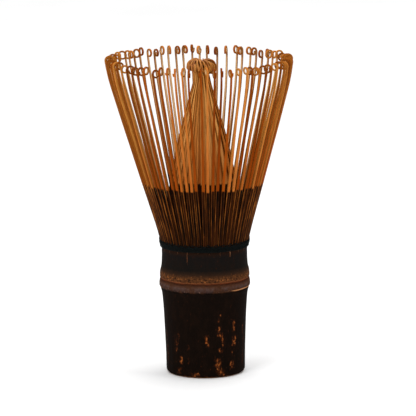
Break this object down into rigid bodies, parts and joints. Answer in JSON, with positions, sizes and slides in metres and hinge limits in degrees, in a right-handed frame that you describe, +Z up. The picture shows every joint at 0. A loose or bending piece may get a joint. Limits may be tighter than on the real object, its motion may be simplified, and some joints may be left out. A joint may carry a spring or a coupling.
{
  "type": "bamboo tea whisk",
  "caption": "Black bamboo tea whisk: a grip with one node, a ring of thin flared tines with curled tips, an inner core tied up by its own curled tips, and a laced black thread.",
  "frame": {"origin": "centre of the foot, on the surface the whisk stands on", "axes": "+Z up along the culm, from the foot to the curled tips"},
  "size_m": [0.0624, 0.0624, 0.1054],
  "materials": {
    "dark_bamboo": "satin",
    "outer_tine_bamboo": "satin",
    "inner_tine_bamboo": "satin",
    "thread": "matte"
  },
  "bodies": {
    "culm": {"handle": "dark_bamboo", "inner_tines_01": "inner_tine_bamboo", "inner_tines_02": "inner_tine_bamboo", "inner_tines_03": "inner_tine_bamboo", "inner_tines_04": "inner_tine_bamboo", "inner_tines_05": "inner_tine_bamboo", "inner_tines_06": "inner_tine_bamboo", "inner_tines_07": "inner_tine_bamboo", "inner_tines_08": "inner_tine_bamboo", "inner_tines_09": "inner_tine_bamboo", "inner_tines_10": "inner_tine_bamboo", "inner_tines_11": "inner_tine_bamboo", "inner_tines_12": "inner_tine_bamboo", "inner_tines_13": "inner_tine_bamboo", "inner_tines_14": "inner_tine_bamboo", "inner_tines_15": "inner_tine_bamboo", "inner_tines_16": "inner_tine_bamboo", "inner_tines_17": "inner_tine_bamboo", "inner_tines_18": "inner_tine_bamboo", "inner_tines_19": "inner_tine_bamboo", "inner_tines_20": "inner_tine_bamboo", "inner_tines_21": "inner_tine_bamboo", "inner_tines_22": "inner_tine_bamboo", "inner_tines_23": "inner_tine_bamboo", "inner_tines_24": "inner_tine_bamboo", "binding_thread": "thread"},
    "outer_section_01": {"outer_tines_01": "outer_tine_bamboo"},
    "outer_section_02": {"outer_tines_02": "outer_tine_bamboo"},
    "outer_section_03": {"outer_tines_03": "outer_tine_bamboo"},
    "outer_section_04": {"outer_tines_04": "outer_tine_bamboo"},
    "outer_section_05": {"outer_tines_05": "outer_tine_bamboo"},
    "outer_section_06": {"outer_tines_06": "outer_tine_bamboo"},
    "outer_section_07": {"outer_tines_07": "outer_tine_bamboo"},
    "outer_section_08": {"outer_tines_08": "outer_tine_bamboo"},
    "outer_section_09": {"outer_tines_09": "outer_tine_bamboo"},
    "outer_section_10": {"outer_tines_10": "outer_tine_bamboo"},
    "outer_section_11": {"outer_tines_11": "outer_tine_bamboo"},
    "outer_section_12": {"outer_tines_12": "outer_tine_bamboo"},
    "outer_section_13": {"outer_tines_13": "outer_tine_bamboo"},
    "outer_section_14": {"outer_tines_14": "outer_tine_bamboo"},
    "outer_section_15": {"outer_tines_15": "outer_tine_bamboo"},
    "outer_section_16": {"outer_tines_16": "outer_tine_bamboo"},
    "outer_section_17": {"outer_tines_17": "outer_tine_bamboo"},
    "outer_section_18": {"outer_tines_18": "outer_tine_bamboo"},
    "outer_section_19": {"outer_tines_19": "outer_tine_bamboo"},
    "outer_section_20": {"outer_tines_20": "outer_tine_bamboo"},
    "outer_section_21": {"outer_tines_21": "outer_tine_bamboo"},
    "outer_section_22": {"outer_tines_22": "outer_tine_bamboo"},
    "outer_section_23": {"outer_tines_23": "outer_tine_bamboo"},
    "outer_section_24": {"outer_tines_24": "outer_tine_bamboo"}
  },
  "joints": [
    {"name": "flex_01", "type": "hinge", "parent": "culm", "child": "outer_section_01", "pos_m": [0.0138, 0, 0.04326], "axis": [0, 1, 0], "range_deg": [-4, 4], "stiffness_Nm_per_rad": 0.0066},
    {"name": "flex_02", "type": "hinge", "parent": "culm", "child": "outer_section_02", "pos_m": [0.01333, 0.00357, 0.04326], "axis": [-0.2588, 0.9659, 0], "range_deg": [-4, 4], "stiffness_Nm_per_rad": 0.0066},
    {"name": "flex_03", "type": "hinge", "parent": "culm", "child": "outer_section_03", "pos_m": [0.01195, 0.0069, 0.04326], "axis": [-0.5, 0.866, 0], "range_deg": [-4, 4], "stiffness_Nm_per_rad": 0.0066},
    {"name": "flex_04", "type": "hinge", "parent": "culm", "child": "outer_section_04", "pos_m": [0.00976, 0.00976, 0.04326], "axis": [-0.7071, 0.7071, 0], "range_deg": [-4, 4], "stiffness_Nm_per_rad": 0.0066},
    {"name": "flex_05", "type": "hinge", "parent": "culm", "child": "outer_section_05", "pos_m": [0.0069, 0.01195, 0.04326], "axis": [-0.866, 0.5, 0], "range_deg": [-4, 4], "stiffness_Nm_per_rad": 0.0066},
    {"name": "flex_06", "type": "hinge", "parent": "culm", "child": "outer_section_06", "pos_m": [0.00357, 0.01333, 0.04326], "axis": [-0.9659, 0.2588, 0], "range_deg": [-4, 4], "stiffness_Nm_per_rad": 0.0066},
    {"name": "flex_07", "type": "hinge", "parent": "culm", "child": "outer_section_07", "pos_m": [0, 0.0138, 0.04326], "axis": [-1, 0, 0], "range_deg": [-4, 4], "stiffness_Nm_per_rad": 0.0066},
    {"name": "flex_08", "type": "hinge", "parent": "culm", "child": "outer_section_08", "pos_m": [-0.00357, 0.01333, 0.04326], "axis": [-0.9659, -0.2588, 0], "range_deg": [-4, 4], "stiffness_Nm_per_rad": 0.0066},
    {"name": "flex_09", "type": "hinge", "parent": "culm", "child": "outer_section_09", "pos_m": [-0.0069, 0.01195, 0.04326], "axis": [-0.866, -0.5, 0], "range_deg": [-4, 4], "stiffness_Nm_per_rad": 0.0066},
    {"name": "flex_10", "type": "hinge", "parent": "culm", "child": "outer_section_10", "pos_m": [-0.00976, 0.00976, 0.04326], "axis": [-0.7071, -0.7071, 0], "range_deg": [-4, 4], "stiffness_Nm_per_rad": 0.0066},
    {"name": "flex_11", "type": "hinge", "parent": "culm", "child": "outer_section_11", "pos_m": [-0.01195, 0.0069, 0.04326], "axis": [-0.5, -0.866, 0], "range_deg": [-4, 4], "stiffness_Nm_per_rad": 0.0066},
    {"name": "flex_12", "type": "hinge", "parent": "culm", "child": "outer_section_12", "pos_m": [-0.01333, 0.00357, 0.04326], "axis": [-0.2588, -0.9659, 0], "range_deg": [-4, 4], "stiffness_Nm_per_rad": 0.0066},
    {"name": "flex_13", "type": "hinge", "parent": "culm", "child": "outer_section_13", "pos_m": [-0.0138, 0, 0.04326], "axis": [0, -1, 0], "range_deg": [-4, 4], "stiffness_Nm_per_rad": 0.0066},
    {"name": "flex_14", "type": "hinge", "parent": "culm", "child": "outer_section_14", "pos_m": [-0.01333, -0.00357, 0.04326], "axis": [0.2588, -0.9659, 0], "range_deg": [-4, 4], "stiffness_Nm_per_rad": 0.0066},
    {"name": "flex_15", "type": "hinge", "parent": "culm", "child": "outer_section_15", "pos_m": [-0.01195, -0.0069, 0.04326], "axis": [0.5, -0.866, 0], "range_deg": [-4, 4], "stiffness_Nm_per_rad": 0.0066},
    {"name": "flex_16", "type": "hinge", "parent": "culm", "child": "outer_section_16", "pos_m": [-0.00976, -0.00976, 0.04326], "axis": [0.7071, -0.7071, 0], "range_deg": [-4, 4], "stiffness_Nm_per_rad": 0.0066},
    {"name": "flex_17", "type": "hinge", "parent": "culm", "child": "outer_section_17", "pos_m": [-0.0069, -0.01195, 0.04326], "axis": [0.866, -0.5, 0], "range_deg": [-4, 4], "stiffness_Nm_per_rad": 0.0066},
    {"name": "flex_18", "type": "hinge", "parent": "culm", "child": "outer_section_18", "pos_m": [-0.00357, -0.01333, 0.04326], "axis": [0.9659, -0.2588, 0], "range_deg": [-4, 4], "stiffness_Nm_per_rad": 0.0066},
    {"name": "flex_19", "type": "hinge", "parent": "culm", "child": "outer_section_19", "pos_m": [0, -0.0138, 0.04326], "axis": [1, 0, 0], "range_deg": [-4, 4], "stiffness_Nm_per_rad": 0.0066},
    {"name": "flex_20", "type": "hinge", "parent": "culm", "child": "outer_section_20", "pos_m": [0.00357, -0.01333, 0.04326], "axis": [0.9659, 0.2588, 0], "range_deg": [-4, 4], "stiffness_Nm_per_rad": 0.0066},
    {"name": "flex_21", "type": "hinge", "parent": "culm", "child": "outer_section_21", "pos_m": [0.0069, -0.01195, 0.04326], "axis": [0.866, 0.5, 0], "range_deg": [-4, 4], "stiffness_Nm_per_rad": 0.0066},
    {"name": "flex_22", "type": "hinge", "parent": "culm", "child": "outer_section_22", "pos_m": [0.00976, -0.00976, 0.04326], "axis": [0.7071, 0.7071, 0], "range_deg": [-4, 4], "stiffness_Nm_per_rad": 0.0066},
    {"name": "flex_23", "type": "hinge", "parent": "culm", "child": "outer_section_23", "pos_m": [0.01195, -0.0069, 0.04326], "axis": [0.5, 0.866, 0], "range_deg": [-4, 4], "stiffness_Nm_per_rad": 0.0066},
    {"name": "flex_24", "type": "hinge", "parent": "culm", "child": "outer_section_24", "pos_m": [0.01333, -0.00357, 0.04326], "axis": [0.2588, 0.9659, 0], "range_deg": [-4, 4], "stiffness_Nm_per_rad": 0.0066}
  ]
}
